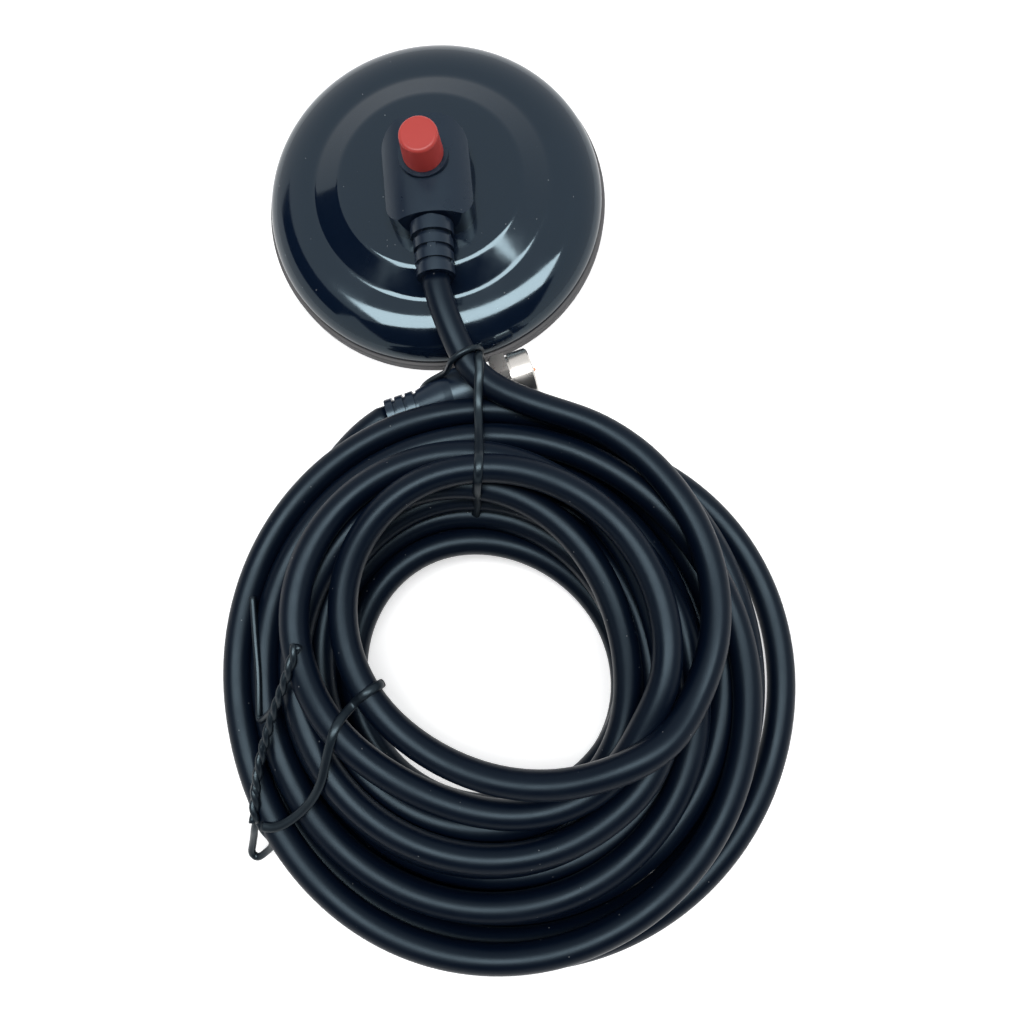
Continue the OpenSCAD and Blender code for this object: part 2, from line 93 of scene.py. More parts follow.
# the lead's own first two turns lie loosely over the rest: angle and distance from the middle
LOOSE_TURNS = (
    (24, 60.6), (31, 60.2), (41, 59.6), (51, 59.0), (63, 58.8), (71, 56.6), (80, 54.2), (89, 51.8), (95, 49.7),
    (101, 47.6), (107, 45.3), (113, 41.7), (122, 37.7), (133, 32.4), (147, 27.9), (163, 24.1), (184, 21.2),
    (202, 20.0), (223, 19.8), (241, 21.0), (260, 23.9), (272, 25.6), (281, 28.0), (294, 31.0), (304, 33.0),
    (315, 36.4), (328, 40.4), (342, 42.4), (355, 43.0), (366, 43.6), (378, 43.9), (389, 43.7), (403, 42.8),
    (420, 42.6), (432, 42.3),
    (447, 40.5), (460, 39.2), (475, 39.0), (491, 38.2), (503, 36.4), (515, 34.0), (529, 31.3), (545, 28.6),
    (568, 26.6), (588, 27.7), (608, 30.4), (630, 34.5), (646, 37.0), (665, 40.5), (690, 44.5), (720, 46.0),
)
# the bottom turn swings out of the bundle at the right: how far round from the plug, how long, how far out
SLACK_TURN = 0.57
SLACK_SPAN = 0.17
SLACK_RADIUS = 70.8
# how far from the middle the coil meets the route to the plug
PLUG_END_RADIUS = 55.5
# how many turns from the base the measured turns hold, and over how many they give way
LOOSE_END = 1.62
LOOSE_BLEND = 0.25
# the height at which the coil meets the route from the base, and how many diameters each turn starts above the last
BASE_END_HEIGHT = 18.2
TURN_RISE = 0.85
# the slow random waves of the turns
WAVE_SEED = 3
WAVES = 5
# the settling: its steps, and how much the line sinks in the early and in the late ones
SETTLE_STEPS = 600
SINK_EARLY = 0.30
SINK_LATE = 0.12
# how many points each way the line evens out with, and by what share
EVENING = ((1, 0.4), (3, 0.3), (7, 0.25))

# the ties of coated wire, in mm: the flat one over the lead and across the coil, its short branch over the boot
TOP_TIE_START = ((8.2, -45.4, 9.0), (8.2, -45.6, 14.0), (8.2, -46.4, 19.0), (8.2, -47.9, 21.4))
TOP_TIE_PLAN = (
    (8.2, -50.2), (8.0, -52.2), (7.6, -54.2), (7.2, -57.0), (6.9, -60.5), (6.8, -64.0), (6.8, -68.0), (6.8, -72.4),
    (6.3, -76.4), (5.5, -79.0), (4.6, -81.0),
)
TOP_TIE_END = ((3.4, -83.2, 11.5), (2.4, -84.9, 7.0), (2.2, -85.4, 3.0), (2.6, -83.5, 0.8))
BOOT_BRANCH = (
    (8.4, -46.2, 16.0), (8.8, -45.5, 18.4), (7.7, -45.7, 20.9), (4.9, -46.9, 22.1), (2.1, -48.1, 20.9),
    (1.0, -48.5, 18.0), (-0.2, -48.6, 14.4), (-2.4, -48.5, 11.4), (-5.6, -49.0, 8.6), (-7.6, -49.6, 5.0),
    (-8.2, -50.6, 1.6), (-7.8, -53.0, 0.8),
)
# the side tie: round the inner turn and out to its knot, its two free ends, and the bent loop below the knot
SIDE_TIE_START = (
    (-24.4, -121.3, 17.9), (-22.8, -120.4, 17.4), (-19.8, -118.8, 18.7), (-18.8, -118.3, 21.5), (-19.8, -118.8, 24.4),
    (-22.0, -120.0, 25.6),
)
SIDE_TIE_PLAN = (
    (-25.3, -122.3), (-27.4, -124.8), (-29.2, -128.6), (-30.9, -132.8), (-32.6, -137.0), (-35.2, -140.8),
    (-39.2, -144.2), (-42.6, -146.1), (-45.8, -146.9), (-48.6, -146.2),
)
FREE_END_PLAN = ((-47.6, -97.0), (-47.4, -102.0), (-47.2, -107.0), (-46.9, -114.2), (-47.3, -123.0), (-47.9, -131.0))
TWIST_PLAN = (
    (-34.2, -108.4), (-35.6, -111.9), (-38.1, -116.3), (-41.0, -120.8), (-43.8, -126.0), (-46.3, -131.5),
    (-48.0, -136.7), (-48.9, -141.0), (-49.6, -145.6),
)
BENT_LOOP = (
    (-48.9, -144.4, 17.6), (-50.4, -147.0, 16.0), (-51.8, -149.6, 13.2), (-53.2, -152.4, 10.8), (-53.9, -154.4, 9.6),
    (-53.0, -155.4, 9.2), (-50.6, -154.2, 10.2), (-47.9, -151.9, 12.8), (-47.4, -150.2, 14.8), (-48.4, -147.6, 16.6),
    (-49.4, -144.8, 17.4),
)
TIE_WIDTH = 2.0
TIE_THICKNESS = 0.9

# the tint of the dark pieces' gloss
BLUISH = (0.68, 0.90, 1.0, 1.0)


def colour(name, description, default):
    """A colour property."""
    return FloatVectorProperty(
        name=name, description=description, subtype="COLOR", size=3, default=default, min=0.0, max=1.0
    )


class AntennaLead(bpy.types.PropertyGroup):
    """Sizes and colour of the coaxial lead"""

    length: FloatProperty(
        name="Length", description="Real length of the lead", default=5.0, min=1.0, max=10.0, unit="LENGTH"
    )
    diameter: FloatProperty(
        name="Diameter", description="Across the jacket", default=0.0064, min=0.0058, max=0.0068, unit="LENGTH"
    )
    sides: IntProperty(name="Sides", description="Faces round the jacket", default=22, min=8, max=32)
    jacket: colour("Jacket", "Colour of the jacket", (0.0013, 0.0042, 0.0125))


class AntennaFinish(bpy.types.PropertyGroup):
    """Colours of the pieces"""

    enamel: colour("Enamel", "Colour of the steel cover", (0.004, 0.0095, 0.0235))
    rubber: colour("Rubber", "Colour of the pad under the cover", (0.10, 0.097, 0.10))
    block: colour("Block", "Colour of the moulded block", (0.005, 0.011, 0.027))
    cap: colour("Cap", "Colour of the dust cap", (0.56, 0.055, 0.046))
    nickel: colour("Nickel", "Colour of the plated plug", (0.62, 0.60, 0.57))


class AntennaStage(bpy.types.PropertyGroup):
    """Light and floor"""

    floor: colour("Floor", "Colour of the floor", (0.84, 0.84, 0.84))
    lamp: FloatProperty(
        name="Window lamp", description="Power of the big soft lamp", default=4.2, min=0.0, max=50.0, unit="POWER"
    )
    shine: FloatProperty(
        name="Shine", description="Power of the window seen in gloss", default=24.0, min=0.0, max=80.0, unit="POWER"
    )
    sky: FloatProperty(name="Sky", description="Strength of the light from all round", default=0.55, min=0.0, max=2.0)


def put_mesh(name, verts, faces, smooth=True):
    """A mesh object at the origin from arrays of points (metres) and quads or polygons."""
    mesh = bpy.data.meshes.new(name)
    mesh.from_pydata(verts.tolist(), [], [tuple(f) for f in faces.tolist()] if isinstance(faces, np.ndarray) else faces)
    mesh.polygons.foreach_set("use_smooth", np.full(len(mesh.polygons), smooth))
    mesh.update()
    obj = bpy.data.objects.new(name, mesh)
    bpy.context.scene.collection.objects.link(obj)
    return obj


def even_path(points, step):
    """Points at even steps along a line of points, rounded by a cubic through them."""
    points = np.asarray(points, float)
    s = np.concatenate([[0.0], np.cumsum(np.linalg.norm(np.diff(points, axis=0), axis=1))])
    count = int(round(s[-1] / step)) + 1
    t = np.linspace(0.0, s[-1], count)
    i = np.clip(np.searchsorted(s, t, "right") - 1, 0, len(s) - 2)
    tangent = np.gradient(points, s, axis=0)
    h = (s[i + 1] - s[i])[:, None]
    f = ((t - s[i]) / h[:, 0])[:, None]
    return ((2 * f**3 - 3 * f**2 + 1) * points[i] + (f**3 - 2 * f**2 + f) * h * tangent[i]
            + (-2 * f**3 + 3 * f**2) * points[i + 1] + (f**3 - f**2) * h * tangent[i + 1])


def smoothed(points, passes, hold=0):
    """Each point moved to the mean of itself and its neighbours, the first and last few held."""
    points = points.copy()
    for _ in range(passes):
        inner = (points[:-2] + 2 * points[1:-1] + points[2:]) / 4
        points[1 + hold:len(points) - 1 - hold] = inner[hold:len(inner) - hold]
    return points


def tube(name, path, radius, sides, flat=1.0):
    """A round profile carried along a path: each ring is the centre plus radius times the cosine and sine
    of the angle along two directions square to the path, the upper one of them shortened by flat. Both ends
    are closed."""
    path = np.asarray(path, float)
    count = len(path)
    radius = np.broadcast_to(np.asarray(radius, float), (count,))
    tangent = np.gradient(path, axis=0)
    tangent /= np.linalg.norm(tangent, axis=1)[:, None]
    # level across where the path lies down, and evened out where it stands up
    side = np.cross(tangent, (0.0, 0.0, 1.0))
    side /= np.linalg.norm(side, axis=1)[:, None] + 1e-9
    for _ in range(6):
        side[1:-1] = (side[:-2] + side[1:-1] + side[2:]) / 3
    side -= tangent * (side * tangent).sum(1)[:, None]
    side /= np.linalg.norm(side, axis=1)[:, None]
    up = np.cross(side, tangent)
    angle = np.linspace(0, 2 * math.pi, sides, endpoint=False)
    ring = flat * up[:, None, :] * np.cos(angle)[None, :, None] + side[:, None, :] * np.sin(angle)[None, :, None]
    verts = (path[:, None, :] + ring * radius[:, None, None]).reshape(-1, 3)
    i, j = np.meshgrid(np.arange(count - 1), np.arange(sides), indexing="ij")
    a = i * sides + j
    b = i * sides + (j + 1) % sides
    quads = np.stack([a, a + sides, b + sides, b], -1).reshape(-1, 4)
    faces = quads.tolist()
    faces.append(list(range(sides)))
    faces.append(list(range((count - 1) * sides, count * sides))[::-1])
    return put_mesh(name, verts, faces)


def ease(t):
    """0 before 0, 1 after 1, and a smooth step between."""
    t = np.clip(t, 0, 1)
    return t * t * (3 - 2 * t)


def eased(values, width):
    """A row of values averaged under a raised cosine of that many points."""
    weight = np.hanning(width + 2)[1:-1]
    return np.convolve(np.pad(values, width // 2, "edge"), weight / weight.sum(), "valid")


def hump(degrees, middle, width):
    """1 at the middle angle, falling off as a bell over the width."""
    away = (degrees - middle + 180) % 360 - 180
    return np.exp(-((away / width) ** 2))


def coil_line(diameter):
    """Where each point of the coil wants to be before it settles, in mm: the angle round the coil, the turns
    laid since the plug's end, the turns passed since the base's end, the distance from the middle and a height
    above all that was laid before it. The distance is a lane between the bundle's inner and outer edge, and
    each turn slips to its next lane in its second half; the measured turns follow their own distances."""
    total = (len(LANES) + 1) * 2 * math.pi + math.radians(COIL_END - COIL_START)
    count = int(round(total / (2 * math.pi) * STEPS_PER_TURN))
    angle = math.radians(COIL_START) + np.arange(count + 1) / count * total
    degrees = np.degrees(angle)
    laid = (angle[-1] - angle) / (2 * math.pi)
    passed = (angle - angle[0]) / (2 * math.pi)

    lanes = np.array((*LANES, LANES[-1], LANES[-1]))
    turn = np.clip(np.floor(laid).astype(int), 0, len(LANES) - 1)
    slip = ease((laid - np.floor(laid) - 0.45) / 0.5)
    lane = eased(lanes[turn] + (lanes[turn + 1] - lanes[turn]) * slip, 25)
    inner = eased(np.interp(degrees % 360, INNER_ANGLE, INNER_RADIUS), 21)
    outer = eased(np.interp(degrees % 360, OUTER_ANGLE, OUTER_RADIUS), 21)
    radius = inner + (outer - inner) * lane

    # slow uneven waves, as no turn is laid quite true
    rng = np.random.default_rng(WAVE_SEED)
    for _ in range(WAVES):
        height, pace, start = rng.uniform(0.18, 0.48), rng.uniform(0.15, 0.75), rng.uniform()
        radius += height * np.sin(2 * math.pi * (laid * pace + start))

    top = 1 - ease((passed - LOOSE_END) / LOOSE_BLEND)
    loose = eased(np.interp(degrees, *zip(*LOOSE_TURNS)), 11)
    radius += (loose - radius) * top
    radius += (SLACK_RADIUS - radius) * np.exp(-(((laid - SLACK_TURN) / SLACK_SPAN) ** 4))
    radius = eased(radius, 13)
    radius += (PLUG_END_RADIUS - radius) * ease((0.25 - laid) / 0.25)

    # the upper turns keep to the inside at the right and the front, and to the outside at the back
    upper = ease((laid - 9.5) / 3) * ease((passed - 1.7) / 0.25)
    radius += upper * (4 * hump(degrees, 350, 45) - 9 * hump(degrees, 85, 45) - 5 * hump(degrees, 185, 60))
    radius = eased(radius, 13)
    return angle, laid, passed, radius, diameter * (0.5 + TURN_RISE * laid)


def settle(angle, laid, passed, radius, height, diameter):
    """The turns dropped on each other, in mm: at each step every point sinks, is drawn back to its own
    distance, evens out with its neighbours along the lead, is pushed off each turn that it overlaps,
    and stays over the turns laid before it, off the plug and off the floor. Where the last turn crosses
    an earlier one it is pushed up and the earlier one down, whichever lay higher."""
    count = len(angle)
    wish = radius.copy()
    # the measured turns and the loose bottom one keep their distance, the rest only lean to it
    hold = np.where(passed < 1.6, np.where(passed < 1.0, 0.8, 0.45), 0.12)
    hold = np.maximum(hold, 0.45 * np.exp(-(((laid - SLACK_TURN) / 0.25) ** 4)))
    pin = 0.5 * np.maximum(np.exp(-((passed / 0.05) ** 2)), np.exp(-((laid / 0.04) ** 2)))
    pinned = np.where(passed > laid, diameter / 2, BASE_END_HEIGHT)
    crossing = passed < 1.0
    ahead_x, ahead_y = math.cos(PLUG_TURN), math.sin(PLUG_TURN)
    for step in range(SETTLE_STEPS):
        height -= SINK_EARLY if step < SETTLE_STEPS * 0.6 else SINK_LATE
        radius += (wish - radius) * hold
        for reach, share in EVENING:
            for line in (radius, height):
                even = (line[:-2 * reach] + line[2 * reach:]) / 2
                line[reach:-reach] += share * (even - line[reach:-reach])
        height += (pinned - height) * pin
        for _ in range(4):
            push_r = np.zeros(count)
            push_z = np.zeros(count)
            for laps in range(1, count // STEPS_PER_TURN + 1):
                for offset in (-2, -1, 0, 1, 2):
                    gap = laps * STEPS_PER_TURN + offset
                    if gap >= count:
                        continue
                    over, under = slice(0, count - gap), slice(gap, count)
                    dr = radius[under] - radius[over]
                    dz = height[under] - height[over]
                    da = offset * math.pi / STEPS_PER_TURN * (radius[over] + radius[under])
                    dz = np.where((np.abs(dr) < diameter * 0.6) & crossing[over], -np.abs(dz), dz)
                    apart = np.sqrt(dr * dr + dz * dz + da * da) + 1e-6
                    push = np.clip(diameter - apart, 0, None) / apart
                    push_r[over] -= push * dr / 2
                    push_r[under] += push * dr / 2
                    push_z[over] -= push * dz * 0.7
                    push_z[under] += push * dz * 0.3
                    if offset == 0:
                        near = np.clip(2 - 2 * (dr / (diameter * 0.75)) ** 2, 0, 1)
                        push_z[over] += 0.4 * np.minimum(near * np.clip(dz + 2, 0, None), 2)
            radius += push_r / 2
            height += push_z / 2
            x = COIL_CENTRE[0] + radius * np.sin(angle) - PLUG_MOUTH[0]
            y = COIL_CENTRE[1] + radius * np.cos(angle) - PLUG_MOUTH[1]
            ahead = x * ahead_x + y * ahead_y
            beside = y * ahead_x - x * ahead_y
            rise = height - PLUG_MOUTH[2]
            room = np.where(ahead < PLUG_TAIL[0], PLUG_TAIL[1], PLUG_BODY_RADIUS) + diameter / 2 + 0.1
            apart = np.hypot(beside, rise) + 1e-6
            near = (ahead > -2) & (ahead < PLUG_LENGTH) & (laid > 0.12)
            push = np.where(near, np.clip(room - apart, 0, None), 0) / apart
            radius += 0.6 * push * beside
            height += 0.8 * push * rise
            np.maximum(height, diameter / 2, out=height)
    return radius, height


@lru_cache(maxsize=1)
def lead_path(diameter):
    """The whole lead's centreline in mm: the route from the relief, the settled coil, the route to the plug."""
    angle, laid, passed, radius, height = coil_line(diameter)
    radius, height = settle(angle, laid, passed, radius, height, diameter)
    x = COIL_CENTRE[0] + radius * np.sin(angle)
    y = COIL_CENTRE[1] + radius * np.cos(angle)
    coil = np.stack([x, y, height], 1)
    path = even_path(np.concatenate([LEAD_ROUTE, coil[2:-2], TAIL_ROUTE]), 2.1)
    return smoothed(path, 8, hold=1)


def drape(plan, lead, clearance, tighten=60):
    """A tie laid over the lead along a line seen from above, in mm: its height at each point is that of the
    highest turn below it, the turn's round back included, and it is then drawn tight between the backs."""
    plan = even_path(np.asarray(plan, float), 0.7)
    gap = np.linalg.norm(plan[:, None, :] - lead[None, :, :2], axis=2)
    back = np.where(gap < clearance, lead[None, :, 2] + np.sqrt(np.clip(clearance**2 - gap**2, 0, None)), 0.6)
    rest = back.max(1)
    height = rest.copy()
    for _ in range(tighten):
        height[1:-1] = np.maximum(rest[1:-1], (height[:-2] + height[2:]) / 2)
    return np.column_stack([plan, height])


def wound(path, radius, pitch, start, last=None):
    """A line wound round a path, in mm: the path plus radius times the cosine and sine of the distance along it
    over the pitch; with last, only the last so many points are wound and the rest runs straight."""
    s = np.concatenate([[0.0], np.cumsum(np.linalg.norm(np.diff(path, axis=0), axis=1))])
    tangent = np.gradient(path, axis=0)
    tangent /= np.linalg.norm(tangent, axis=1)[:, None]
    side = np.cross(tangent, (0.0, 0.0, 1.0))
    up = np.cross(side, tangent)
    turn = 2 * math.pi * s / pitch + start
    share = np.ones(len(path)) if last is None else ease((np.arange(len(path)) - len(path) + last) / 12)
    return path + (radius * share)[:, None] * (side * np.cos(turn)[:, None] + up * np.sin(turn)[:, None])


def joined(name, pieces):
    """Several mesh objects made one, by putting their points and faces into one mesh."""
    verts, faces, start = [], [], 0
    for piece in pieces:
        verts += [tuple(v.co) for v in piece.data.vertices]
        faces += [tuple(start + k for k in face.vertices) for face in piece.data.polygons]
        start += len(piece.data.vertices)
        bpy.data.objects.remove(piece)
    return put_mesh(name, np.array(verts), faces)


def new_material(name):
    """A new material with nodes, its tree and its Principled shader."""
    material = bpy.data.materials.new(name)
    material.use_nodes = True
    return material, material.node_tree, material.node_tree.nodes["Principled BSDF"]


def add(tree, kind, **values):
    """A node of a kind in a tree, with its inputs or settings given by name."""
    node = tree.nodes.new(kind)
    for key, value in values.items():
        if key in node.inputs:
            node.inputs[key].default_value = value
        else:
            setattr(node, key, value)
    return node


def grain_group():
    """Fine moulded grain, faint wear and dust specks, shared by the finishes."""
    group = bpy.data.node_groups.new("moulded_grain", "ShaderNodeTree")
    face = group.interface
    face.new_socket("Colour", in_out="INPUT", socket_type="NodeSocketColor")
    for label, value in (("Roughness", 0.4), ("Grain scale", 900.0), ("Dust", 0.3)):
        face.new_socket(label, in_out="INPUT", socket_type="NodeSocketFloat").default_value = value
    face.new_socket("Colour", in_out="OUTPUT", socket_type="NodeSocketColor")
    face.new_socket("Roughness", in_out="OUTPUT", socket_type="NodeSocketFloat")
    face.new_socket("Height", in_out="OUTPUT", socket_type="NodeSocketFloat")
    link = group.links.new
    into = group.nodes.new("NodeGroupInput")
    out = group.nodes.new("NodeGroupOutput")
    place = group.nodes.new("ShaderNodeTexCoord")
    grain = add(group, "ShaderNodeTexNoise", Detail=3.0, Roughness=0.6)
    link(place.outputs["Object"], grain.inputs["Vector"])
    link(into.outputs["Grain scale"], grain.inputs["Scale"])
    cloud = add(group, "ShaderNodeTexNoise", Scale=70.0, Detail=4.0, Roughness=0.6)
    link(place.outputs["Object"], cloud.inputs["Vector"])
    speck = add(group, "ShaderNodeTexVoronoi", Scale=520.0, Randomness=1.0)
    link(place.outputs["Object"], speck.inputs["Vector"])
    small = add(group, "ShaderNodeMapRange", interpolation_type="SMOOTHSTEP")
    small.inputs["From Min"].default_value = 0.10
    small.inputs["From Max"].default_value = 0.04
    link(speck.outputs["Distance"], small.inputs["Value"])
    few = add(group, "ShaderNodeMath", operation="GREATER_THAN")
    few.inputs[1].default_value = 0.86
    split = group.nodes.new("ShaderNodeSeparateColor")
    link(speck.outputs["Color"], split.inputs["Color"])
    link(split.outputs["Red"], few.inputs[0])
    dust = add(group, "ShaderNodeMath", operation="MULTIPLY")
    link(small.outputs["Result"], dust.inputs[0])
    link(few.outputs[0], dust.inputs[1])
    amount = add(group, "ShaderNodeMath", operation="MULTIPLY")
    link(dust.outputs[0], amount.inputs[0])
    link(into.outputs["Dust"], amount.inputs[1])
    tint = add(group, "ShaderNodeMix", data_type="RGBA")
    tint.inputs[7].default_value = (0.42, 0.44, 0.46, 1.0)
    link(amount.outputs[0], tint.inputs[0])
    link(into.outputs["Colour"], tint.inputs[6])
    link(tint.outputs[2], out.inputs["Colour"])
    wear = add(group, "ShaderNodeMapRange")
    wear.inputs["From Min"].default_value = 0.3
    wear.inputs["From Max"].default_value = 0.7
    wear.inputs["To Min"].default_value = -0.06
    wear.inputs["To Max"].default_value = 0.06
    link(cloud.outputs["Fac"], wear.inputs["Value"])
    rough = add(group, "ShaderNodeMath", operation="ADD", use_clamp=True)
    link(into.outputs["Roughness"], rough.inputs[0])
    link(wear.outputs["Result"], rough.inputs[1])
    link(rough.outputs[0], out.inputs["Roughness"])
    link(grain.outputs["Fac"], out.inputs["Height"])
    return group


def finish(name, colour, roughness, scale=900.0, dust=0.2, bump=0.15, depth=0.00004, metallic=0.0, **sockets):
    """A material that places the grain group with its own values."""
    material, tree, shader = new_material(name)
    link = tree.links.new
    grain = tree.nodes.new("ShaderNodeGroup")
    grain.node_tree = bpy.data.node_groups.get("moulded_grain") or grain_group()
    grain.inputs["Colour"].default_value = (*colour, 1.0)
    grain.inputs["Roughness"].default_value = roughness
    grain.inputs["Grain scale"].default_value = scale
    grain.inputs["Dust"].default_value = dust
    raised = add(tree, "ShaderNodeBump", Strength=bump, Distance=depth)
    link(grain.outputs["Height"], raised.inputs["Height"])
    link(raised.outputs["Normal"], shader.inputs["Normal"])
    link(grain.outputs["Colour"], shader.inputs["Base Color"])
    link(grain.outputs["Roughness"], shader.inputs["Roughness"])
    shader.inputs["Metallic"].default_value = metallic
    for key, value in sockets.items():
        shader.inputs[key.replace("_", " ")].default_value = value
    return material


def paint(node, material):
    """Gives a CAD node its finish."""
    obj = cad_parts[node]
    if not obj.material_slots:
        obj.data.materials.append(material)
    for each in obj.material_slots:
        each.material = material


def seen_rays(tree):
    """1 for the rays that show the pale surroundings: those of the camera, of gloss and of glass."""
    path = tree.nodes.new("ShaderNodeLightPath")
    either = add(tree, "ShaderNodeMath", operation="MAXIMUM")
    tree.links.new(path.outputs["Is Camera Ray"], either.inputs[0])
    tree.links.new(path.outputs["Is Glossy Ray"], either.inputs[1])
    all_three = add(tree, "ShaderNodeMath", operation="MAXIMUM")
    tree.links.new(either.outputs[0], all_three.inputs[0])
    tree.links.new(path.outputs["Is Transmission Ray"], all_three.inputs[1])
    return all_three.outputs[0]


# the camera, in metres: where it stands, and the directions to its right and ahead of it
CAMERA_PLACE = (0.01719, -0.10519, 0.18728)
CAMERA_RIGHT = (0.99472, -0.09425, -0.04063)
CAMERA_AHEAD = (-0.02859, 0.12578, -0.99165)
SENSOR = 36.0
LENS = 26.72
# the floor's half width and its squares, and the strength that lifts it to white
FLOOR_SIDE = 3.0
FLOOR_SQUARES = 8
FLOOR_LIFT = 0.62
# the corners of the cards that give the gloss its dark sides
DARK_CARDS = (
    ("card_front", ((-0.75, -0.30, 0.85), (0.75, -0.18, 0.85), (0.9, -0.95, 0.45), (-0.75, -0.95, 0.45))),
    ("card_left", ((-0.80, 0.70, 0.62), (-1.10, 0.60, 0.36), (-1.0, -0.40, 0.45), (-0.58, -0.25, 0.80))),
)


class ANTENNA_OT_stage(bpy.types.Operator):
    """Camera, floor, surroundings, lamps and dark cards"""

    bl_idname = "antenna.stage"
    bl_label = "Stage"

    def execute(self, context):
        scene = context.scene
        stage = scene.antenna_stage
        scene.view_settings.view_transform = "Standard"
        camera = bpy.data.objects.new("camera", bpy.data.cameras.new("camera"))
        scene.collection.objects.link(camera)
        camera.data.sensor_width = SENSOR
        camera.data.lens = LENS
        camera.data.clip_start = 0.01
        right = Vector(CAMERA_RIGHT).normalized()
        ahead = Vector(CAMERA_AHEAD)
        ahead = (ahead - ahead.dot(right) * right).normalized()
        up = right.cross(ahead)
        turn = Matrix((right, up, -ahead)).transposed().to_4x4()
        camera.matrix_world = Matrix.Translation(CAMERA_PLACE) @ turn
        scene.camera = camera

        row = FLOOR_SQUARES + 1
        grid = np.linspace(-FLOOR_SIDE, FLOOR_SIDE, row)
        x, y = np.meshgrid(grid, grid, indexing="ij")
        verts = np.stack([x, y, np.zeros_like(x)], -1).reshape(-1, 3)
        i, j = np.meshgrid(np.arange(FLOOR_SQUARES), np.arange(FLOOR_SQUARES), indexing="ij")
        a = i * row + j
        floor = put_mesh("floor", verts, np.stack([a, a + row, a + row + 1, a + 1], -1).reshape(-1, 4), smooth=False)
        material, tree, shader = new_material("floor_paper")
        shader.inputs["Base Color"].default_value = (*stage.floor, 1.0)
        shader.inputs["Roughness"].default_value = 0.8
        shader.inputs["Specular IOR Level"].default_value = 0.1
        shader.inputs["Emission Color"].default_value = (1.0, 1.0, 1.0, 1.0)
        lift = add(tree, "ShaderNodeMath", operation="MULTIPLY")
        lift.inputs[1].default_value = FLOOR_LIFT
        tree.links.new(seen_rays(tree), lift.inputs[0])
        tree.links.new(lift.outputs[0], shader.inputs["Emission Strength"])
        floor.data.materials.append(material)

        world = scene.world or bpy.data.worlds.new("studio")
        scene.world = world
        world.use_nodes = True
        tree = world.node_tree
        back = tree.nodes["Background"]
        back.inputs["Color"].default_value = (0.93, 0.97, 1.0, 1.0)
        back.inputs["Strength"].default_value = stage.sky
        seen = tree.nodes.new("ShaderNodeBackground")
        seen.inputs["Color"].default_value = (1.0, 1.0, 1.0, 1.0)
        mix = tree.nodes.new("ShaderNodeMixShader")
        tree.links.new(seen_rays(tree), mix.inputs[0])
        tree.links.new(back.outputs[0], mix.inputs[1])
        tree.links.new(seen.outputs[0], mix.inputs[2])
        tree.links.new(mix.outputs[0], tree.nodes["World Output"].inputs["Surface"])

        def lamp(name, place, aim, power, width, height, gloss):
            """A rectangular lamp that shows in gloss alone, or lights everything but gloss."""
            data = bpy.data.lights.new(name, "AREA")
            data.shape = "RECTANGLE"
            data.size, data.size_y = width, height
            data.energy = power
            obj = bpy.data.objects.new(name, data)
            scene.collection.objects.link(obj)
            obj.location = place
            obj.rotation_euler = (Vector(aim) - Vector(place)).to_track_quat("-Z", "Y").to_euler()
            obj.visible_glossy, obj.visible_diffuse = gloss, not gloss

        lamp("window_lamp", (0.02, 0.005, 0.90), (0.0, -0.05, 0.0), stage.lamp, 0.50, 0.25, False)
        lamp("window_shine", (0.06, -0.13, 0.92), (0.06, -0.13, 0.0), stage.shine, 1.10, 0.46, True)

        card, _, shader = new_material("dark_card")
        shader.inputs["Base Color"].default_value = (0.01, 0.012, 0.016, 1.0)
        shader.inputs["Roughness"].default_value = 0.9
        shader.inputs["Specular IOR Level"].default_value = 0.0
        for name, corners in DARK_CARDS:
            flag = put_mesh(name, np.array(corners), [(0, 1, 2, 3)], smooth=False)
            flag.data.materials.append(card)
            flag.visible_camera = False
        return {"FINISHED"}


class ANTENNA_OT_lead(bpy.types.Operator):
    """The coaxial lead, from the strain relief through its coil to the plug"""

    bl_idname = "antenna.lead"
    bl_label = "Lead"

    def execute(self, context):
        lead = context.scene.antenna_lead
        path = lead_path(lead.diameter / MM) * MM
        piece = tube("lead", path, lead.diameter / 2, lead.sides)
        jacket = finish(
            "jacket_vinyl", lead.jacket, 0.38, scale=1100.0, dust=0.4, bump=0.05,
            Specular_Tint=BLUISH, Specular_IOR_Level=0.15,
        )
        piece.data.materials.append(jacket)
        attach(piece, "base")
        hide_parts("lead_cable", "cable_coil", "tail_cable")
        return {"FINISHED"}


# the cover's skin, in mm: its foot and the top of its upright skirt, the ring, and the raised centre
COVER_RADIUS = 42.5
COVER_FOOT = 1.2
SKIRT_TOP = 4.0
SHOULDER_RADIUS = 31.5
RING_HEIGHT = 11.5
CENTRE_RISE = 3.2
SLOPE_OUTER = 29.5
SLOPE_INNER = 22.4
# how far its creases are rounded, and by how much the rounding lifts or lowers them
CREASE = 0.8
CREASE_LIFT = 0.09
STEEL = 1.2


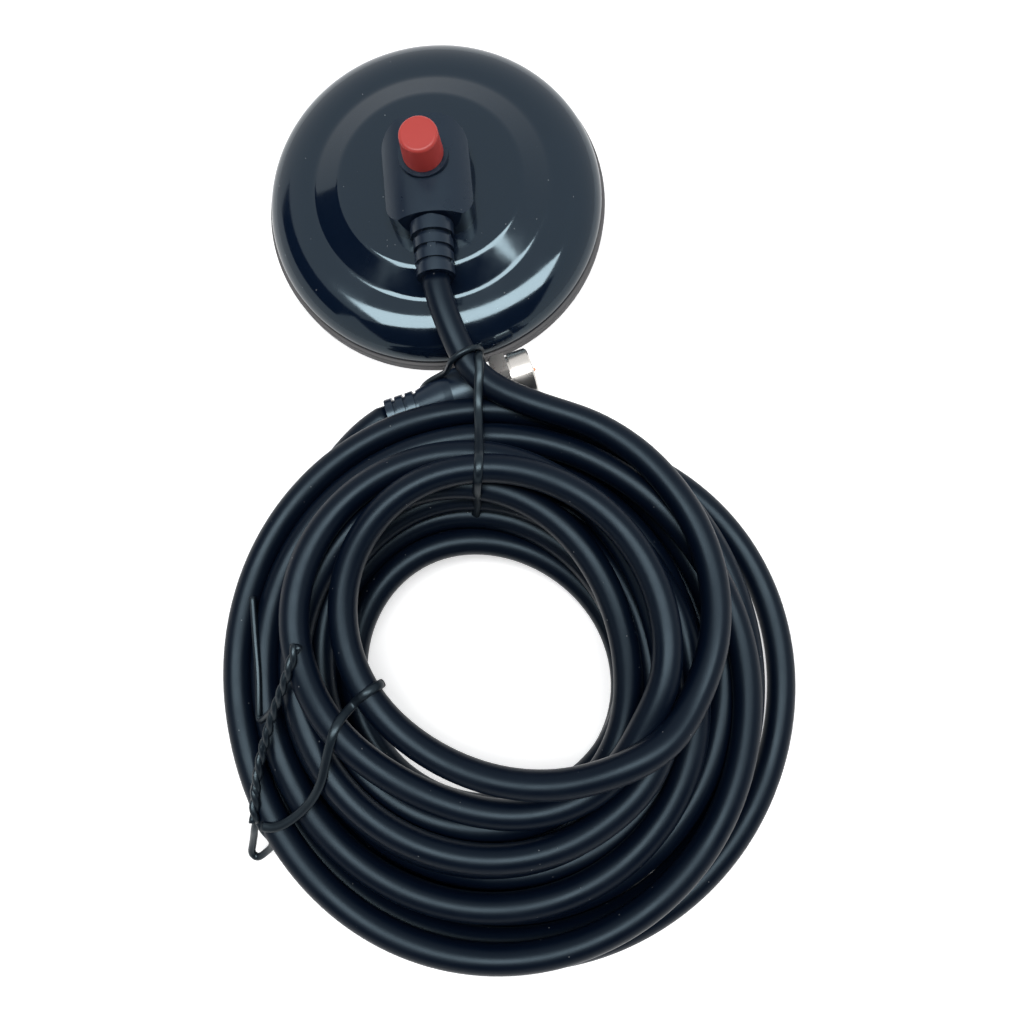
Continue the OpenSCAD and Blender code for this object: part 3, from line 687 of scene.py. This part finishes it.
def cover_profile():
    """The cover's skin as radius and height in mm, from the foot of its skirt up to the middle: an upright
    skirt, a quarter of an ellipse, the flat ring, the slope and the raised centre, with both creases of the
    slope rounded."""
    angle = np.radians(np.linspace(0, 90, 40))
    shoulder_r = SHOULDER_RADIUS + (COVER_RADIUS - SHOULDER_RADIUS) * np.cos(angle)
    shoulder_z = SKIRT_TOP + (RING_HEIGHT - SKIRT_TOP) * np.sin(angle)
    r = [COVER_RADIUS, COVER_RADIUS, *shoulder_r, 30.2]
    z = [COVER_FOOT, 3.2, *shoulder_z, RING_HEIGHT]
    slope_r = 29.9 + (21.9 - 29.9) * np.linspace(0, 1, 30)
    rise = CENTRE_RISE * np.clip((SLOPE_OUTER - slope_r) / 7.1, 0, 1)
    for edge, way in ((SLOPE_OUTER, 1), (SLOPE_INNER, -1)):
        near = np.clip(1 - np.abs(slope_r - edge) / CREASE, 0, 1)
        rise += way * CREASE_LIFT * near**2
    top = RING_HEIGHT + CENTRE_RISE
    return np.array([*r, *slope_r, 20.0, 12.0, 5.0]), np.array([*z, *(RING_HEIGHT + rise), top, top, top])


def turned(name, r, z, sides=256):
    """A closed profile of radii and heights (mm) turned round the Z axis: x and y are the radius times the
    cosine and sine of the angle, z the height, and the last ring is joined to the first."""
    angle = np.linspace(0, 2 * math.pi, sides, endpoint=False)
    x = r[:, None] * np.cos(angle)[None]
    y = r[:, None] * np.sin(angle)[None]
    verts = np.stack([x, y, np.broadcast_to(z[:, None], x.shape)], -1).reshape(-1, 3) * MM
    i, j = np.meshgrid(np.arange(len(r)), np.arange(sides), indexing="ij")
    near, far = i * sides, (i + 1) % len(r) * sides
    k = (j + 1) % sides
    return put_mesh(name, verts, np.stack([near + j, near + k, far + k, far + j], -1).reshape(-1, 4))


class ANTENNA_OT_cover(bpy.types.Operator):
    """The enamelled steel cover"""

    bl_idname = "antenna.cover"
    bl_label = "Cover"

    def execute(self, context):
        look = context.scene.antenna_finish
        r, z = cover_profile()
        # the inside runs back down under the skin, and its foot stays just above the skin's
        inner = np.clip(z[::-1] - STEEL, 1.25, None)
        piece = turned("cover", np.concatenate([r, r[::-1] - 1.0]), np.concatenate([z, inner]))
        enamel = finish(
            "cover_enamel", look.enamel, 0.10, scale=130.0, dust=0.55, bump=0.06, depth=0.0002, Specular_Tint=BLUISH
        )
        piece.data.materials.append(enamel)
        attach(piece, "base")
        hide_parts("base_cover")
        return {"FINISHED"}


class ANTENNA_OT_ties(bpy.types.Operator):
    """The two ties of coated wire that hold the coil"""

    bl_idname = "antenna.ties"
    bl_label = "Ties"

    def execute(self, context):
        lead = context.scene.antenna_lead
        path = lead_path(lead.diameter / MM)
        clearance = lead.diameter / MM / 2 + TIE_THICKNESS / 2
        half, flat = TIE_WIDTH / 2 * MM, TIE_THICKNESS / TIE_WIDTH

        top = drape(TOP_TIE_PLAN, path, clearance)
        top = smoothed(even_path([*TOP_TIE_START, *top[::3], *TOP_TIE_END], 0.6), 6)
        branch = smoothed(even_path(BOOT_BRANCH, 0.5), 4)
        strips = [tube("tie_strip", top * MM, half, 12, flat=flat), tube("tie_branch", branch * MM, half * 0.7, 10)]
        top_tie = joined("tie_over_lead", strips)

        over = drape(SIDE_TIE_PLAN, path, clearance + 0.2, tighten=200)
        over = smoothed(even_path([*SIDE_TIE_START, *over[::3]], 0.6), 5)
        free = smoothed(drape(FREE_END_PLAN, path, clearance, tighten=400), 12)
        twist = smoothed(drape(TWIST_PLAN, path, clearance + 0.5, tighten=400), 12)
        both = [wound(np.concatenate([free[:-8], twist[-40:]]), 0.55, 5.0, 0.0, 36), wound(twist, 0.6, 7.0, math.pi)]
        second = wound(twist, 0.6, 7.0, 0.0)
        strips = [tube("tie_over", over * MM, half, 12, flat=flat)]
        strips += [tube("tie_wire", smoothed(each, 3) * MM, half * 0.72, 10, flat=0.8) for each in (*both, second)]
        strips.append(tube("tie_loop", smoothed(even_path(BENT_LOOP, 0.5), 6) * MM, half * 0.85, 10, flat=0.8))
        side_tie = joined("tie_over_coil", strips)

        vinyl = finish(
            "tie_vinyl", (0.006, 0.010, 0.016), 0.34, scale=1400.0, dust=0.25, bump=0.12,
            Specular_Tint=BLUISH, Specular_IOR_Level=0.3,
        )
        for piece, node in ((top_tie, "tie_top"), (side_tie, "tie_side")):
            piece.data.materials.clear()
            piece.data.materials.append(vinyl)
            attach(piece, "base")
            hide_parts(node)
        return {"FINISHED"}


class ANTENNA_OT_finishes(bpy.types.Operator):
    """The finishes of the CAD pieces that show"""

    bl_idname = "antenna.finishes"
    bl_label = "Finishes"

    def execute(self, context):
        look = context.scene.antenna_finish
        rubber = finish("pad_rubber", look.rubber, 0.7, scale=700.0, dust=0.6, bump=0.4)
        block, vinyl = (
            finish(
                name, look.block, 0.30, scale=1200.0, dust=0.3, bump=0.15, Specular_Tint=BLUISH, Specular_IOR_Level=0.4
            )
            for name in ("block_plastic", "relief_vinyl")
        )
        cap = finish("cap_vinyl", look.cap, 0.42, scale=800.0, dust=0.1, bump=0.1, Specular_IOR_Level=0.3)
        nickel = finish("nickel", look.nickel, 0.26, scale=1500.0, dust=0.1, bump=0.1, metallic=1.0)
        steel = finish("zinc_steel", (0.5, 0.5, 0.49), 0.35, scale=1500.0, dust=0.0, bump=0.1, metallic=1.0)
        gilt = finish("gilt_brass", (0.75, 0.55, 0.25), 0.25, scale=1500.0, dust=0.0, bump=0.05, metallic=1.0)
        white = finish("white_insulator", (0.75, 0.74, 0.7), 0.4, scale=900.0, dust=0.0, bump=0.1)
        copper = finish("copper", (0.8, 0.36, 0.2), 0.3, scale=1500.0, dust=0.0, bump=0.05, metallic=1.0)
        ferrite = finish("ferrite", (0.03, 0.03, 0.032), 0.6, scale=600.0, dust=0.2, bump=0.3)
        for names, material in (
            (("base_pad",), rubber),
            (("ring_magnet",), ferrite),
            (("pole_plate", "block_screws"), steel),
            (("mount_block",), block),
            (("strain_relief", "plug_boot", "cable_end"), vinyl),
            (("jack_body", "jack_washer", "jack_nut", "plug_sleeve", "plug_nut", "crimp_sleeve"), nickel),
            (("jack_contact",), gilt),
            (("jack_insulator", "plug_dielectric"), white),
            (("centre_wire", "plug_pin"), copper),
            (("dust_cap",), cap),
        ):
            for name in names:
                paint(name, material)
        return {"FINISHED"}


class ANTENNA_PT_panel(bpy.types.Panel):
    """Lists the pieces in the sidebar"""

    bl_label = "Magnetic antenna base"
    bl_idname = "ANTENNA_PT_panel"
    bl_space_type = "VIEW_3D"
    bl_region_type = "UI"
    bl_category = "Antenna"

    def draw(self, context):
        for operator in (ANTENNA_OT_stage, ANTENNA_OT_lead, ANTENNA_OT_cover, ANTENNA_OT_ties, ANTENNA_OT_finishes):
            self.layout.operator(operator.bl_idname)


CLASSES = (
    AntennaLead,
    AntennaFinish,
    AntennaStage,
    ANTENNA_OT_stage,
    ANTENNA_OT_lead,
    ANTENNA_OT_cover,
    ANTENNA_OT_ties,
    ANTENNA_OT_finishes,
    ANTENNA_PT_panel,
)


def register():
    """Registers the classes and the settings."""
    for each in CLASSES:
        bpy.utils.register_class(each)
    bpy.types.Scene.antenna_lead = PointerProperty(type=AntennaLead)
    bpy.types.Scene.antenna_finish = PointerProperty(type=AntennaFinish)
    bpy.types.Scene.antenna_stage = PointerProperty(type=AntennaStage)


def unregister():
    """Takes the settings and the classes out again."""
    del bpy.types.Scene.antenna_lead
    del bpy.types.Scene.antenna_finish
    del bpy.types.Scene.antenna_stage
    for each in reversed(CLASSES):
        bpy.utils.unregister_class(each)


def main():
    """Builds the stage and every piece."""
    register()
    bpy.ops.antenna.stage()
    bpy.ops.antenna.lead()
    bpy.ops.antenna.cover()
    bpy.ops.antenna.ties()
    bpy.ops.antenna.finishes()


if __name__ == "__main__":
    main()
